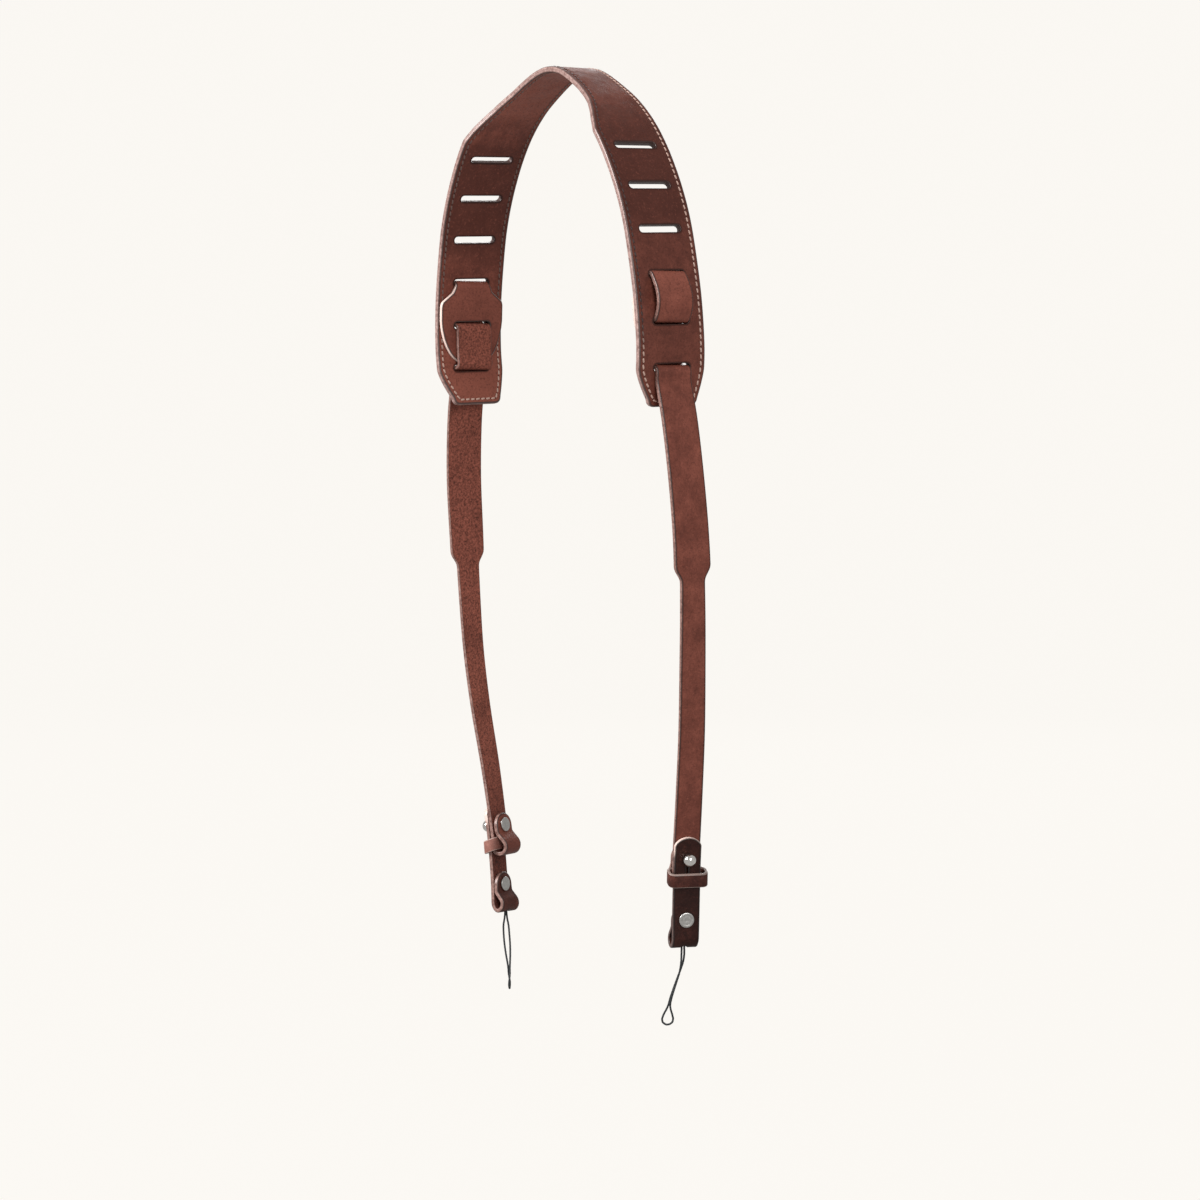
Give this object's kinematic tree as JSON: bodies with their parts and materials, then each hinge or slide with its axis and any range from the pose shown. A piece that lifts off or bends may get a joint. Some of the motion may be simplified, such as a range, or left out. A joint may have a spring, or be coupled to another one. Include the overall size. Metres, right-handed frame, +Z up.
{
  "type": "camera neck strap",
  "caption": "Leather camera neck strap with a slotted, sewn shoulder pad, two woven straps, ball-stud end tabs with keepers, and thin cord loops.",
  "frame": {"origin": "underside of the crown, where the shoulder pad rests on what it hangs from", "axes": "+Z up, +X across the loop from the left leg to the right leg, -Y towards the scooped neck edge of the pad"},
  "size_m": [0.2308, 0.0561, 0.5514],
  "materials": {
    "pad_leather": "reddish brown grain leather with a pale burnished edge",
    "lining_leather": "reddish brown smooth leather",
    "strap_leather": "dark reddish brown leather with a rougher flesh side",
    "fitting_leather": "dark brown leather",
    "nickel": "polished and brushed nickel",
    "black_cord": "near-black braided cord"
  },
  "bodies": {
    "root": {"pad_outer": "pad_leather", "pad_lining": "lining_leather", "left_leg_strap": "strap_leather", "right_leg_strap": "strap_leather", "left_end_tab": "fitting_leather", "right_end_tab": "fitting_leather", "left_keeper": "fitting_leather", "right_keeper": "fitting_leather", "left_ball_stud": "nickel", "right_ball_stud": "nickel", "left_loop_rivet": "nickel", "right_loop_rivet": "nickel", "left_cord": "black_cord", "right_cord": "black_cord", "left_cord_knot": "black_cord", "right_cord_knot": "black_cord"}
  },
  "joints": []
}
